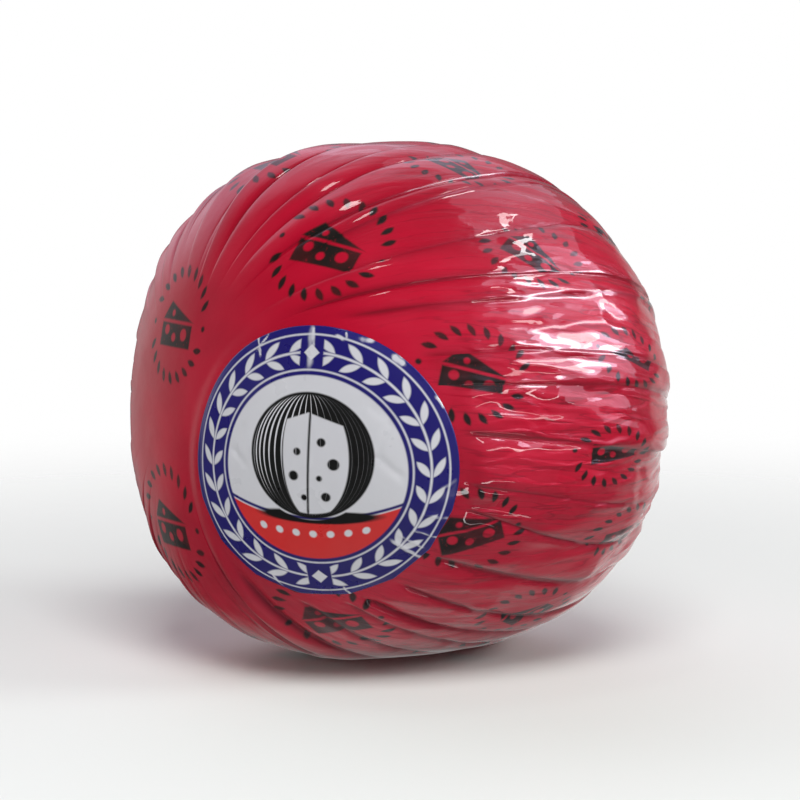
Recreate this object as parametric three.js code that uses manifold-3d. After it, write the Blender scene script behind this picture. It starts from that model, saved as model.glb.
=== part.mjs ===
// An edam-style cheese ball drawn tight in a pleated film, with one round label stuck on its side.
// Millimetres, +Z up. The ball is seen from -Y, as it lies on a table on one small flat spot.
import * as THREE from "three";
import { mergeVertices } from "three/addons/utils/BufferGeometryUtils.js";
import Module from "manifold-3d";

// The cheese: a ball flattened a little at its two poles, round the axis that the film is drawn along.
const EQUATOR_RADIUS = 72.3;
const POLE_RADIUS = 68.9;
const SQUARENESS = 2.6;
const AXIS = new THREE.Vector3(-0.829, -0.546, 0.116).normalize();

// The film: smooth at the pole in front, folded into pleats that run to the gathered pole at the back.
const PLEAT_COUNT = 44;
const PLEAT_DEPTH = 1.7;
const LEAST_SHARE_OF_DEPTH = 0.35;
const PLEAT_STEEPNESS = 0.3;
const PLEAT_SHARE_OF_JITTER = 0.5;
const PLEAT_SHARE_OF_WANDER = 0.16;
const WANDER_PACE = 2.3;
const DEPTH_WAVE = 0.25;
const DEPTH_WAVE_PACE = 3.1;
const CREST_SHARE = 0.6;
const CREST_JITTER = 0.2;
const FIRST_START = THREE.MathUtils.degToRad(12);
const LAST_START = THREE.MathUtils.degToRad(62);
const RISE = THREE.MathUtils.degToRad(34);
const SPREAD = 0.5;
const SPREAD_MIDDLE = THREE.MathUtils.degToRad(-80.7);
const SPREAD_FROM = THREE.MathUtils.degToRad(45);
const SPREAD_TO = THREE.MathUtils.degToRad(140);
const GATHER_DIMPLE = 5.5;
const GATHER_DIMPLE_SPREAD = THREE.MathUtils.degToRad(17);
const TUFT_HEIGHT = 9.0;
const TUFT_SPREAD = THREE.MathUtils.degToRad(5.5);

// Where the film lies flatter, or below zero where its pleats stand deeper, and how far that reaches.
const PLEAT_ZONES = [
  { toward: new THREE.Vector3(0.74, -0.64, 0.15), flatter: 0.85, reach: 44 },
  { toward: new THREE.Vector3(-0.93, 0.3, -0.15), flatter: 0.85, reach: 30 },
  { toward: new THREE.Vector3(-0.55, -0.1, 0.83), flatter: -0.35, reach: 30 },
  { toward: new THREE.Vector3(0, -0.55, -0.83), flatter: -0.3, reach: 28 },
];

// Broad swells and dents of the soft cheese: where they point, how high they stand and how far they reach.
const SWELLS = [
  { toward: new THREE.Vector3(1, -0.04, 0.09), height: 1.2, reach: 20 },
  { toward: new THREE.Vector3(0.5, 0.06, 0.87), height: -0.4, reach: 24 },
  { toward: new THREE.Vector3(0.24, 0.07, 1), height: 1.3, reach: 12 },
  { toward: new THREE.Vector3(-0.26, 0.07, 1), height: -1.0, reach: 14 },
  { toward: new THREE.Vector3(-0.77, 0.03, 0.64), height: 0.9, reach: 20 },
  { toward: new THREE.Vector3(-1, -0.04, 0.09), height: -0.8, reach: 24 },
  { toward: new THREE.Vector3(-0.74, -0.13, -0.66), height: 1.3, reach: 24 },
  { toward: new THREE.Vector3(0.34, -0.16, -0.93), height: -2.3, reach: 24 },
  { toward: new THREE.Vector3(0.91, -0.1, -0.4), height: 2.2, reach: 13 },
  { toward: new THREE.Vector3(0.2, 0.9, 0.4), height: 1.0, reach: 28 },
  { toward: new THREE.Vector3(-0.4, 0.9, -0.2), height: -1.2, reach: 26 },
];

// The label: a round sticker on the front, drawn a little wide, over pleats that lie flat beneath it.
const LABEL_TOWARD = new THREE.Vector3(-0.283, -0.953, -0.112).normalize();
const LABEL_HALF_WIDTH = 39.8;
const LABEL_HALF_HEIGHT = 37.8;
const LABEL_THICKNESS = 0.5;
const LABEL_GAP = 0.32;
const LABEL_SEGMENTS = 16;
const LABEL_PRESSED = THREE.MathUtils.degToRad(32);
const LABEL_APRON = THREE.MathUtils.degToRad(8);
const WALK_STEPS = 12;
const SLOPE_STEP = 0.001;

// The flat spot that the ball rests on, and how far round it the pleats are pressed flat.
const FLOOR_BELOW_MIDDLE = 70.0;
const FOOT_PRESSED = THREE.MathUtils.degToRad(15);
const FOOT_APRON = THREE.MathUtils.degToRad(14);

// The mesh: how many steps go round one pleat, and how many rows run from pole to pole.
const STEPS_ACROSS_PLEAT = [0, 0.3, 0.58, 0.86];
const ROWS = 24;

const FILM_RED = new THREE.MeshStandardMaterial({ color: 0xb3142b, roughness: 0.2, metalness: 0 });
const LABEL_BLUE = new THREE.MeshStandardMaterial({ color: 0x241c6b, roughness: 0.35, metalness: 0 });

// Two directions that stand square to the axis, from which the angle round it is counted.
const ROUND_ZERO = new THREE.Vector3(0, 0, 1).addScaledVector(AXIS, -AXIS.z).normalize();
const ROUND_QUARTER = new THREE.Vector3().crossVectors(AXIS, ROUND_ZERO);

const wasm = await Module();
wasm.setup();

// A fixed number from 0 to 1 for a pleat and a purpose.
function chance(pleat, purpose) {
  const turned = Math.sin((pleat % PLEAT_COUNT) * 127.1 + purpose * 311.7) * 43758.5453;
  return turned - Math.floor(turned);
}

// The direction at an angle from the front pole and an angle round the axis.
function directionAt(fromPole, round) {
  const across = ROUND_ZERO.clone().multiplyScalar(Math.cos(round));
  across.addScaledVector(ROUND_QUARTER, Math.sin(round));
  return across.multiplyScalar(Math.sin(fromPole)).addScaledVector(AXIS, Math.cos(fromPole));
}

// A bell curve about a direction: 1 there, and nearly 0 at twice its reach in degrees.
function bell(direction, toward, reach) {
  const away = THREE.MathUtils.radToDeg(direction.angleTo(toward)) / reach;
  return Math.exp(-away * away);
}

// The cheese's radius in a direction: a superellipse turned round the axis, with the swells added.
function cheeseRadius(direction) {
  const along = Math.abs(direction.dot(AXIS));
  const across = Math.sqrt(Math.max(0, 1 - along * along));
  const sum = Math.pow(along / POLE_RADIUS, SQUARENESS) + Math.pow(across / EQUATOR_RADIUS, SQUARENESS);
  const swelling = SWELLS.reduce(
    (total, swell) => total + swell.height * bell(direction, swell.toward, swell.reach),
    0,
  );
  return Math.pow(sum, -1 / SQUARENESS) + swelling;
}

// The dimple where the film is drawn together at the back, with the short tuft of its ends in the middle.
function gatherHeight(fromPole) {
  const fromGather = Math.PI - fromPole;
  const dimple = GATHER_DIMPLE * Math.exp(-Math.pow(fromGather / GATHER_DIMPLE_SPREAD, 2));
  const tuft = TUFT_HEIGHT * Math.exp(-Math.pow(fromGather / TUFT_SPREAD, 4));
  return tuft - dimple;
}

// The angle round the axis of one pleat's valley. Valleys are unevenly spaced, wander on their way back, and
// spread apart on the front side, so that they are pushed together on the back side.
function valleyRound(pleat, fromPole) {
  const jitter = PLEAT_SHARE_OF_JITTER * (chance(pleat, 1) - 0.5);
  const wander = PLEAT_SHARE_OF_WANDER * Math.sin(WANDER_PACE * fromPole + 2 * Math.PI * chance(pleat, 2));
  const round = (2 * Math.PI * (pleat + jitter + wander)) / PLEAT_COUNT;
  const spread = SPREAD * THREE.MathUtils.smoothstep(fromPole, SPREAD_FROM, SPREAD_TO);
  return round + spread * Math.sin(round - SPREAD_MIDDLE);
}

// How far a direction lies outside a pressed area: 0 inside it, rising smoothly to 1 past its apron.
function pastPressed(direction, toward, pressed, apron) {
  return THREE.MathUtils.smoothstep(direction.angleTo(toward), pressed, pressed + apron);
}

// What is left of the pleats' depth in a direction, once every zone is counted.
function pleatsLeft(direction) {
  return PLEAT_ZONES.reduce(
    (left, zone) => left * (1 - zone.flatter * bell(direction, zone.toward, zone.reach)),
    1,
  );
}

// One pleat's height over the cheese: a rounded ridge between two sharp valleys, leaning to one side.
function pleatHeight(pleat, share, fromPole, direction) {
  const start = THREE.MathUtils.lerp(FIRST_START, LAST_START, Math.pow(chance(pleat, 3), 2));
  const grown = THREE.MathUtils.smoothstep(fromPole, start, start + RISE);
  const width = valleyRound(pleat + 1, fromPole) - valleyRound(pleat, fromPole);
  const widthOnBall = width * EQUATOR_RADIUS * Math.sin(fromPole);
  const along = 1 + DEPTH_WAVE * Math.sin(DEPTH_WAVE_PACE * fromPole + 2 * Math.PI * chance(pleat, 4));
  const shareOfDepth = THREE.MathUtils.lerp(LEAST_SHARE_OF_DEPTH, 1, chance(pleat, 5));
  const depth = Math.min(PLEAT_DEPTH * shareOfDepth * grown * along, PLEAT_STEEPNESS * widthOnBall);
  const crest = CREST_SHARE + CREST_JITTER * (chance(pleat, 6) - 0.5);
  const fromCrest = share < crest ? (crest - share) / crest : (share - crest) / (1 - crest);
  const down = new THREE.Vector3(0, 0, -1);
  const underLabel = pastPressed(direction, LABEL_TOWARD, LABEL_PRESSED, LABEL_APRON);
  const underFoot = pastPressed(direction, down, FOOT_PRESSED, FOOT_APRON);
  return depth * (1 - fromCrest * fromCrest) * pleatsLeft(direction) * underLabel * underFoot;
}

// The wrapped ball: a sphere whose columns are moved onto the pleats and whose rows run from pole to pole.
function wrappedBallGeometry() {
  const steps = STEPS_ACROSS_PLEAT.length;
  const columns = PLEAT_COUNT * steps;
  const sphere = new THREE.SphereGeometry(1, columns, ROWS);
  const place = sphere.getAttribute("position");
  for (let vertex = 0; vertex < place.count; vertex += 1) {
    const column = (vertex % (columns + 1)) % columns;
    const row = Math.floor(vertex / (columns + 1));
    const fromPole = (Math.PI * row) / ROWS;
    const pleat = Math.floor(column / steps);
    const share = STEPS_ACROSS_PLEAT[column % steps];
    const round = THREE.MathUtils.lerp(valleyRound(pleat, fromPole), valleyRound(pleat + 1, fromPole), share);
    const direction = directionAt(fromPole, round);
    const folded = pleatHeight(pleat, share, fromPole, direction);
    const radius = cheeseRadius(direction) + gatherHeight(fromPole) + folded;
    place.setXYZ(vertex, ...direction.multiplyScalar(radius));
  }
  return sphere;
}

// A closed geometry as a manifold-3d solid.
function solidOf(geometry) {
  const bare = geometry.clone();
  bare.deleteAttribute("normal");
  bare.deleteAttribute("uv");
  const merged = mergeVertices(bare, 1e-3);
  const mesh = new wasm.Mesh({
    numProp: 3,
    vertProperties: merged.getAttribute("position").array,
    triVerts: new Uint32Array(merged.index.array),
  });
  return new wasm.Manifold(mesh);
}

// A manifold-3d solid as a geometry.
function geometryOf(solid) {
  const mesh = solid.getMesh();
  const geometry = new THREE.BufferGeometry();
  geometry.setAttribute("position", new THREE.BufferAttribute(mesh.vertProperties, 3));
  geometry.setIndex(new THREE.BufferAttribute(mesh.triVerts, 1));
  geometry.computeVertexNormals();
  return geometry;
}

// The wrapped ball with its underside cut to the flat spot that it rests on.
function restingBall() {
  const block = new THREE.BoxGeometry(4 * EQUATOR_RADIUS, 4 * EQUATOR_RADIUS, 2 * EQUATOR_RADIUS);
  block.translate(0, 0, -FLOOR_BELOW_MIDDLE - EQUATOR_RADIUS);
  const geometry = geometryOf(solidOf(wrappedBallGeometry()).subtract(solidOf(block)));
  const ball = new THREE.Mesh(geometry, FILM_RED);
  ball.name = "film_wrapped_cheese";
  return ball;
}

// The direction at an angle from the label's middle towards one side.
function besideLabel(aside, angle) {
  return aside.clone().multiplyScalar(Math.sin(angle)).addScaledVector(LABEL_TOWARD, Math.cos(angle));
}

// The direction reached by walking over the ball from the label's middle, a distance to one side.
function walkFromLabel(aside, distance) {
  let angle = 0;
  for (let step = 0; step < WALK_STEPS; step += 1) {
    const radius = cheeseRadius(besideLabel(aside, angle));
    const slope = (cheeseRadius(besideLabel(aside, angle + SLOPE_STEP)) - radius) / SLOPE_STEP;
    angle += distance / WALK_STEPS / Math.hypot(radius, slope);
  }
  return besideLabel(aside, angle);
}

// The label: a thin box whose square faces are rounded into discs and laid on the ball.
function roundLabel() {
  const sheet = new THREE.BoxGeometry(2, 2, 1, LABEL_SEGMENTS, LABEL_SEGMENTS, 1);
  const place = sheet.getAttribute("position");
  const upward = new THREE.Vector3(0, 0, 1).addScaledVector(LABEL_TOWARD, -LABEL_TOWARD.z).normalize();
  const sideways = new THREE.Vector3().crossVectors(upward, LABEL_TOWARD);
  for (let vertex = 0; vertex < place.count; vertex += 1) {
    const x = place.getX(vertex);
    const y = place.getY(vertex);
    const across = x * Math.sqrt(1 - (y * y) / 2) * LABEL_HALF_WIDTH;
    const along = y * Math.sqrt(1 - (x * x) / 2) * LABEL_HALF_HEIGHT;
    const aside = sideways.clone().multiplyScalar(across).addScaledVector(upward, along);
    const direction = walkFromLabel(aside.clone().normalize(), aside.length());
    const lift = LABEL_GAP + (place.getZ(vertex) > 0 ? LABEL_THICKNESS : 0);
    place.setXYZ(vertex, ...direction.multiplyScalar(cheeseRadius(direction) + lift));
  }
  sheet.deleteAttribute("normal");
  sheet.deleteAttribute("uv");
  const label = new THREE.Mesh(mergeVertices(sheet, 1e-3), LABEL_BLUE);
  label.name = "round_label";
  return label;
}

const wrappedCheese = new THREE.Group();
wrappedCheese.add(restingBall(), roundLabel());

// The origin is on the table, under the middle of the ball's bounding box.
const box = new THREE.Box3().setFromObject(wrappedCheese, true);
const middle = box.getCenter(new THREE.Vector3());
wrappedCheese.position.set(-middle.x, -middle.y, -box.min.z);

export default wrappedCheese;
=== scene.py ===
"""The looks of a cheese ball in pleated red film with a round sticker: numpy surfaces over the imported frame.

Surfaces are worked out in millimetres about the ball's middle and put into meshes in metres.
"""
from functools import partial, reduce
import math

import bpy
import numpy as np
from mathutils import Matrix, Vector


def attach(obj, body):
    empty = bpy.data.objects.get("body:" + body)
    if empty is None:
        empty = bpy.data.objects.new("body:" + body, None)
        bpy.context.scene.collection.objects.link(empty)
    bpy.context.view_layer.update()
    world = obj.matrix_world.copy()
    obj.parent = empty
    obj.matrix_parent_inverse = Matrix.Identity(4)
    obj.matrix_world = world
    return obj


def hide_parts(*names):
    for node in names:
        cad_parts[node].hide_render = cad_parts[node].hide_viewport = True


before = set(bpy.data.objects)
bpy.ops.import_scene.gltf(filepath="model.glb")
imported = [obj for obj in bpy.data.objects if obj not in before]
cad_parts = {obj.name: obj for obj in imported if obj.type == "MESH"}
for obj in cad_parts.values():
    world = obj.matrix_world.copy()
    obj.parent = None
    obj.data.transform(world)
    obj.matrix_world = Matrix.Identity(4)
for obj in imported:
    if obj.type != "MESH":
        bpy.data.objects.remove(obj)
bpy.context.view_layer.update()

bl_info = {
    "name": "Film-wrapped Cheese Ball",
    "version": (1, 0, 0),
    "blender": (4, 5, 0),
    "location": "3D View > Sidebar > Cheese Ball",
    "description": "Makes a cheese ball in pleated film, its round sticker and a plain studio",
    "category": "Object",
}

# The ball, with the same named sizes as the solids have.
BALL_MIDDLE = np.array([-1.27, -0.24, 70.0])
EQUATOR_RADIUS = 72.3
POLE_RADIUS = 68.9
SQUARENESS = 2.6
SWELLS = (
    ((1, -0.04, 0.09), 1.2, 20),
    ((0.5, 0.06, 0.87), -0.4, 24),
    ((0.24, 0.07, 1), 1.3, 12),
    ((-0.26, 0.07, 1), -1.0, 14),
    ((-0.77, 0.03, 0.64), 0.9, 20),
    ((-1, -0.04, 0.09), -0.8, 24),
    ((-0.74, -0.13, -0.66), 1.3, 24),
    ((0.34, -0.16, -0.93), -2.3, 24),
    ((0.91, -0.1, -0.4), 2.2, 13),
    ((0.2, 0.9, 0.4), 1.0, 28),
    ((-0.4, 0.9, -0.2), -1.2, 26),
)
PLEAT_COUNT = 44
PLEAT_STEEPNESS = 0.3
PLEAT_ZONES = (
    ((0.74, -0.64, 0.15), 0.85, 44),
    ((-0.93, 0.3, -0.15), 0.85, 30),
    ((-0.55, -0.1, 0.83), -0.35, 30),
    ((0, -0.55, -0.83), -0.3, 28),
)
SHARE_OF_JITTER = 0.5
SHARE_OF_WANDER = 0.16
FIRST_START = math.radians(12)
LAST_START = math.radians(62)
RISE = math.radians(34)
SPREAD = 0.5
SPREAD_MIDDLE = math.radians(-80.7)
SPREAD_FROM = math.radians(45)
SPREAD_TO = math.radians(140)
GATHER_DIMPLE = 5.5
GATHER_DIMPLE_SPREAD = math.radians(17)
TUFT_HEIGHT = 9.0
TUFT_SPREAD = math.radians(5.5)
FOOT_PRESSED = math.radians(15)
FOOT_APRON = math.radians(14)

# The mesh of the film: columns across one pleat, close together beside its valleys, and rows along it.
SHARES_ACROSS = np.array([
    0.0, 0.025, 0.07, 0.13, 0.2, 0.27, 0.34, 0.41, 0.48, 0.55, 0.62, 0.69, 0.76, 0.83, 0.9, 0.96,
])
FILM_ROWS = 139

# The tucks' half width, the half width and strength of the shade painted beside them, where the creases start,
# and the film's room for what stands up.
FOLD_WIDTH = 0.36
SHADE_WIDTH = 1.5
SHADE = 0.3
POLE_CALM = math.radians(18)
LOWERED = 0.42

# The label: how far its faces lie over the ball, its half angles from the ball's middle, and its mesh.
LABEL_TOP = 0.6
LABEL_UNDER = 0.05
LABEL_ANGLES = (math.radians(31.0), math.radians(29.2))
TRIMMED_SIDES = 18
WALK_STEPS = 24
LABEL_RINGS = 90
LABEL_SPOKES = 480

MM = 0.001

# The unit of the film's flat sheet in its UV map, in millimetres.
SHEET_UNIT = 100.0


def unit(vector):
    """A vector made one long."""
    vector = np.asarray(vector, float)
    return vector / np.linalg.norm(vector)


AXIS = unit((-0.829, -0.546, 0.116))
ROUND_ZERO = unit(np.array([0, 0, 1.0]) - AXIS[2] * AXIS)
ROUND_QUARTER = np.cross(AXIS, ROUND_ZERO)
LABEL_TOWARD = unit((-0.283, -0.953, -0.112))
LABEL_UPWARD = unit(np.array([0, 0, 1.0]) - LABEL_TOWARD[2] * LABEL_TOWARD)
LABEL_SIDEWAYS = np.cross(LABEL_UPWARD, LABEL_TOWARD)


def chance(pleat, purpose):
    """A fixed number from 0 to 1 for each pleat and purpose: the broken part of a large sine."""
    turned = np.sin((pleat % PLEAT_COUNT) * 127.1 + purpose * 311.7) * 43758.5453
    return turned - np.floor(turned)


def smoothstep(value, low, high):
    """0 below low, 1 above high, and 3t^2 - 2t^3 between them."""
    t = np.clip((value - low) / (high - low), 0, 1)
    return t * t * (3 - 2 * t)


def angle_to(directions, toward):
    """The angle between unit directions and one direction."""
    return np.arccos(np.clip(directions @ unit(toward), -1, 1))


def bell(directions, toward, reach):
    """A bell curve of the angle to one direction, 1 there and small beyond its reach in degrees."""
    return np.exp(-((np.degrees(angle_to(directions, toward)) / reach) ** 2))


def waves(points, wavelength, seed, count=7):
    """Smooth noise of about -1 to 1: a sum of sines that run in random directions at like wavelengths."""
    random = np.random.default_rng(seed)
    total = np.zeros(points.shape[:-1])
    for _ in range(count):
        pace = unit(random.normal(size=3)) * 2 * math.pi / (wavelength * random.uniform(0.7, 1.4))
        total += np.sin(points @ pace + random.uniform(0, 2 * math.pi))
    return total / math.sqrt(count)


def direction_at(from_pole, around):
    """Unit directions at an angle from the front pole and an angle round the axis."""
    across = np.cos(around)[..., None] * ROUND_ZERO + np.sin(around)[..., None] * ROUND_QUARTER
    return np.cos(from_pole)[..., None] * AXIS + np.sin(from_pole)[..., None] * across


def cheese_radius(directions):
    """The superellipse (along/pole)^n + (across/equator)^n = 1 turned round the axis, plus the swells."""
    along = np.clip(np.abs(directions @ AXIS), 0, 1)
    across = np.sqrt(1 - along * along)
    total = (along / POLE_RADIUS) ** SQUARENESS + (across / EQUATOR_RADIUS) ** SQUARENESS
    radius = total ** (-1 / SQUARENESS)
    for toward, height, reach in SWELLS:
        radius = radius + height * bell(directions, toward, reach)
    return radius


def gather_height(from_pole):
    """The dimple at the back pole, a broad bell curve, with the film's tuft as a narrow one in it."""
    away = math.pi - from_pole
    tuft = TUFT_HEIGHT * np.exp(-((away / TUFT_SPREAD) ** 4))
    return tuft - GATHER_DIMPLE * np.exp(-((away / GATHER_DIMPLE_SPREAD) ** 2))


def valley_around(pleat, from_pole):
    """The angle round the axis of a pleat's valley: even shares, each moved a little and wandering.

    On the front side the valleys then spread apart by spread * sine of the angle from its middle.
    """
    jitter = SHARE_OF_JITTER * (chance(pleat, 1) - 0.5)
    wander = SHARE_OF_WANDER * np.sin(2.3 * from_pole + 2 * math.pi * chance(pleat, 2))
    around = 2 * math.pi * (pleat + jitter + wander) / PLEAT_COUNT
    return around + SPREAD * smoothstep(from_pole, SPREAD_FROM, SPREAD_TO) * np.sin(around - SPREAD_MIDDLE)


def label_reach(directions):
    """How far out over the label a direction lies: 0 at its middle, 1 at its edge."""
    turn = np.arctan2(directions @ LABEL_UPWARD, directions @ LABEL_SIDEWAYS)
    edge = 1 / np.hypot(np.cos(turn) / LABEL_ANGLES[0], np.sin(turn) / LABEL_ANGLES[1])
    return angle_to(directions, LABEL_TOWARD) / edge


def pleat_grown(pleat, from_pole):
    """How far a pleat has risen out of the smooth film at its own distance from the front pole."""
    start = FIRST_START + (LAST_START - FIRST_START) * chance(pleat, 3) ** 2
    return smoothstep(from_pole, start, start + RISE)


def pleat_angle(pleat, from_pole):
    """The angle round the axis from a pleat's valley to the next."""
    return valley_around(pleat + 1, from_pole) - valley_around(pleat, from_pole)


def pleat_width(pleat, from_pole):
    """A pleat's width on the ball."""
    return pleat_angle(pleat, from_pole) * EQUATOR_RADIUS * np.sin(from_pole)


def pleats_left(directions):
    """What is left of the pleats' depth: 1 less a bell curve for each zone of flatter film."""
    return math.prod(1 - flatter * bell(directions, toward, reach) for toward, flatter, reach in PLEAT_ZONES)


# Where the film is drawn so tight that its pleats lie as flat strips, one edge over the next.
TAUT_ZONES = (
    ((0.74, -0.64, 0.1), 0.97, 62),
    ((0.3, 0.85, 0.3), 0.7, 50),
    ((-0.9, 0.35, -0.1), 0.9, 45),
    ((-0.5, -0.15, 0.85), 0.8, 38),
)


def zoned(directions, zones):
    """The share of each zone added up, a bell curve about its own direction, at most 1."""
    return np.minimum(sum(share * bell(directions, toward, reach) for toward, share, reach in zones), 1)


def leaning(pleat):
    """1 or -1: which of a pleat's edges lies on top."""
    return np.where(chance(pleat, 7) > 0.5, 1.0, -1.0)


def step_share(pleat, from_pole, taut):
    """How strongly a pleat leans: larger where the film is taut, and changing slowly along the pleat."""
    slow = 0.6 + 0.4 * np.sin(5.0 * from_pole + 2 * math.pi * chance(pleat, 9))
    lean = (0.4 + 0.9 * chance(pleat, 8)) * leaning(pleat) * slow
    return lean * (1 + 1.1 * taut) * pleat_grown(pleat, from_pole)


def pleat_height(pleat, share, from_pole, depth, taut):
    """A ridge 1 - f^2 with f the share of the way from its crest to its valley, as on the solids.

    Where the film is taut the ridge turns into a flat strip that rises evenly to its upper edge.
    """
    along = 1 + 0.25 * np.sin(3.1 * from_pole + 2 * math.pi * chance(pleat, 4))
    wanted = depth * (0.35 + 0.65 * chance(pleat, 5)) * pleat_grown(pleat, from_pole) * along
    height = np.minimum(wanted, PLEAT_STEEPNESS * pleat_width(pleat, from_pole))
    crest = 0.6 + 0.2 * (chance(pleat, 6) - 0.5)
    from_crest = np.where(share < crest, (crest - share) / crest, (share - crest) / (1 - crest))
    ridge = 1 - from_crest**2
    strip = 0.62 + 0.7 * (share - 0.5) * leaning(pleat)
    return height * (ridge + (strip - ridge) * taut)


# Where the film is slack, so that its tucks are wide and deep.
SLACK_ZONES = (
    ((-0.64, -0.5, -0.58), 1.0, 32),
    ((0.03, -0.6, -0.8), 0.8, 26),
    ((0.47, -0.42, -0.77), 0.9, 20),
    ((-0.71, -0.46, 0.53), 0.5, 30),
    ((-0.62, 0.15, 0.77), 0.9, 26),
)


def tuck_shape(pleat, share, from_pole, slack):
    """The groove where one pleat goes under the next, a bell curve across each valley, and the darkness
    painted along it: partly the film lying double, partly painted shade.

    Where the film is slack some grooves are far wider and deeper. A wider and weaker bell curve paints
    shade on the film on both sides of each groove.
    """
    loose = slack * chance(np.where(share > 0.5, pleat + 1, pleat), 10) ** 2
    across = np.minimum(share, 1 - share) * pleat_width(pleat, from_pole)
    begun = smoothstep(from_pole, FIRST_START + 0.5 * chance(pleat, 12), FIRST_START + 0.5 + RISE)
    grown = np.maximum(pleat_grown(pleat, from_pole), begun)
    groove = np.exp(-((across / (FOLD_WIDTH * (1 + 4 * loose))) ** 2)) * grown
    shade = SHADE * np.exp(-((across / SHADE_WIDTH) ** 2)) * grown
    return groove * (1 + 4.5 * loose), np.maximum(groove * (0.55 + 0.45 * np.sqrt(loose)), shade)


# Where the film is most crumpled.
BUSY_ZONES = (
    ((0.68, -0.6, 0.34), 1.0, 32),
    ((0.8, -0.5, -0.25), 0.6, 25),
    ((0.9, -0.25, -0.38), 0.8, 18),
    ((0.36, -0.92, -0.13), 1.0, 11),
    ((0.26, -0.68, -0.68), 0.6, 12),
    ((0.1, 0.85, 0.4), 0.5, 35),
)


def film_grid():
    """Rows by columns of angle from the pole, pleat and share across it, with the valleys' own columns."""
    from_pole = np.linspace(0, math.pi, FILM_ROWS + 1)[1:-1]
    pleat = np.repeat(np.arange(PLEAT_COUNT), len(SHARES_ACROSS))
    share = np.tile(SHARES_ACROSS, PLEAT_COUNT)
    shape = (len(from_pole), len(pleat))
    return [np.broadcast_to(part, shape) for part in (from_pole[:, None], pleat, share)]


def around_at(pleat, share, from_pole):
    """The angle round the axis at a share of the way from a pleat's valley to the next."""
    return valley_around(pleat, from_pole) + share * pleat_angle(pleat, from_pole)


def film_places(from_pole, pleat, share, settings):
    """Places of the film: direction * (cheese + gather + pleat - tuck + crumple + step - dents - lowered).

    Also gives how the film is painted darker in its tuck, partly for the film lying double and partly as
    painted shade, and how crumpled the film is there.
    """
    around = around_at(pleat, share, from_pole)
    directions = direction_at(from_pole, around)
    base = cheese_radius(directions) + gather_height(from_pole)
    points = directions * base[..., None]
    pressed = smoothstep(label_reach(directions), 1.02, 1.14)
    pressed = pressed * smoothstep(angle_to(directions, (0, 0, -1)), FOOT_PRESSED, FOOT_PRESSED + FOOT_APRON)
    depth, dark = tuck_shape(pleat, share, from_pole, zoned(directions, SLACK_ZONES))
    taut = zoned(directions, TAUT_ZONES)
    raised = pleat_height(pleat, share, from_pole, settings.pleat_depth / MM, taut) * pleats_left(directions)
    raised = raised - settings.tuck_depth / MM * depth
    busy = zoned(directions, BUSY_ZONES)
    raised = raised + crumple(points, around, from_pole) * (0.13 + 0.9 * busy) * settings.crumple
    raised = raised + settings.step / MM * (share - 0.5) * step_share(pleat, from_pole, taut)
    raised = raised - dents(points, around, from_pole) * zoned(directions, DENTED_ZONES)
    calm = smoothstep(from_pole, POLE_CALM, POLE_CALM + RISE)
    raised = raised * calm - LOWERED
    places = directions * (base + raised * pressed)[..., None] + BALL_MIDDLE
    places[..., 2] = np.maximum(places[..., 2], 0)
    return places, dark * pressed * calm, busy * pressed


def lattice_chance(column, row, seed):
    """A fixed number from -1 to 1 for each point of a lattice: the broken part of a large sine."""
    turned = np.sin(column * 127.1 + row * 269.5 + seed * 74.7) * 43758.5453
    return 2 * (turned - np.floor(turned)) - 1


def facets(across, along, columns, seed):
    """Flat triangles between random heights on a lattice, each square cut along one diagonal."""
    column, row = np.floor(across), np.floor(along)
    right, up = across - column, along - row

    def corner(aside, ahead):
        return lattice_chance((column + aside) % columns, row + ahead, seed)

    near, far = corner(0, 0), corner(1, 1)
    lower = near + right * (corner(1, 0) - near) + up * (far - corner(1, 0))
    upper = near + up * (corner(0, 1) - near) + right * (far - corner(0, 1))
    return np.where(right > up, lower, upper)


# The crumpling's sizes: facets round the ball, their length along it, height in millimetres, and bend.
FACETS = (
    (42, 30.0, 0.46, 0.5),
    (88, 30.0, 0.5, 0.5),
    (150, 22.0, 0.24, 0.6),
)

# The wrinkles' sizes: wavelength in millimetres, how many times as long, height, and width as a share.
WRINKLES = (
    (9.5, 6.0, 0.42, 0.42),
    (6.0, 6.0, 0.12, 0.45),
)

# Where the film is bent into wide flat dents, and their number round the ball, length and depth.
DENTED_ZONES = (
    ((0.9, -0.27, -0.38), 1.0, 19),
    ((0.62, -0.5, -0.62), 0.6, 14),
)
DENTS = (30, 24.0, 1.7)


def dents(points, around, from_pole):
    """Wide facets that only go inwards, between 0 and their depth."""
    columns, length, depth = DENTS
    bend = waves(points, 40, 6)
    across = around / (2 * math.pi) * columns + 0.5 * bend
    along = from_pole * EQUATOR_RADIUS / length + 0.5 * bend + 0.45 * across
    return depth * (0.5 - 0.5 * facets(across, along, columns, 9))


def crumple(points, around, from_pole):
    """Facets with sharp creases in three sizes, longer along the pleats, bent by smooth noise."""
    slow = waves(points, 40, 3)
    quick = waves(points, 19, 4)
    total = 0.0
    for seed, (columns, length, height, bend) in enumerate(FACETS):
        across = around / (2 * math.pi) * columns + bend * slow + 0.4 * quick
        along = from_pole * EQUATOR_RADIUS / length + 0.4 * quick + 0.35 * across
        total = total + height * facets(across, along, columns, seed)
    return (total + wrinkles(around, from_pole)) * smoothstep(from_pole, math.radians(22), math.radians(55))


def wrinkles(around, from_pole):
    """Narrow ridges along the pleats: a bell curve of smooth noise where it crosses nought.

    The noise lies on a cylinder as wide as the ball, shortened so that its swells are long along it.
    """
    total = 0.0
    for seed, (wavelength, longer, height, sharp) in enumerate(WRINKLES):
        cylinder = EQUATOR_RADIUS * np.stack([np.cos(around), np.sin(around), from_pole / longer], -1)
        noise = waves(cylinder, wavelength, 31 + seed)
        total = total + height * np.exp(-((noise / sharp) ** 2))
    return total


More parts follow.
